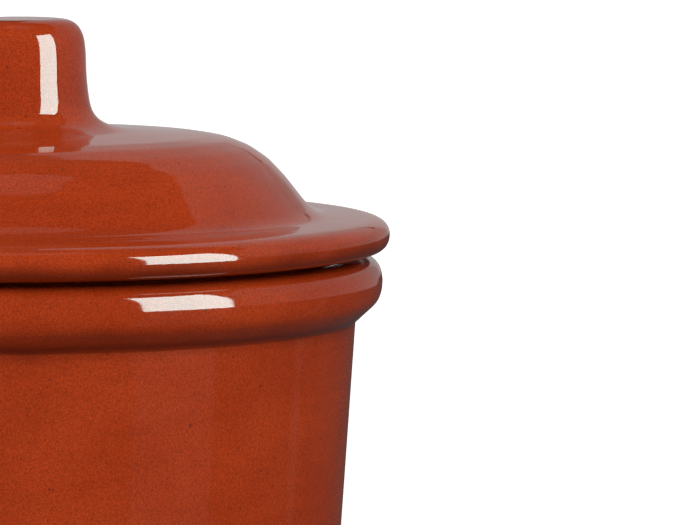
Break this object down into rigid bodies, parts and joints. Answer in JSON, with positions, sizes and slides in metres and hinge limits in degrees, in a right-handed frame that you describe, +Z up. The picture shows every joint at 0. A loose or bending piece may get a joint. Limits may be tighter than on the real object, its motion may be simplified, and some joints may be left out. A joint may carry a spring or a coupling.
{
  "type": "butter crock",
  "caption": "Round glazed earthenware butter crock with a rolled rim and a domed lid that lifts off by its knob.",
  "frame": {"origin": "centre of the foot ring's flat face, on the surface that the crock stands on", "axes": "+Z up along the axis of revolution, from the foot to the knob"},
  "size_m": [0.1408, 0.1408, 0.1468],
  "materials": {
    "crock_glaze": "clear gloss glaze over red-brown earthenware",
    "lid_glaze": "clear gloss glaze over red-brown earthenware"
  },
  "bodies": {
    "crock": {"crock_body": "crock_glaze"},
    "lid": {"lid_shell": "lid_glaze", "lid_knob": "lid_glaze"}
  },
  "joints": [
    {"name": "lid_lift", "type": "slide", "parent": "crock", "child": "lid", "axis": [0, 0, 1], "range_m": [0, 0.12]}
  ]
}
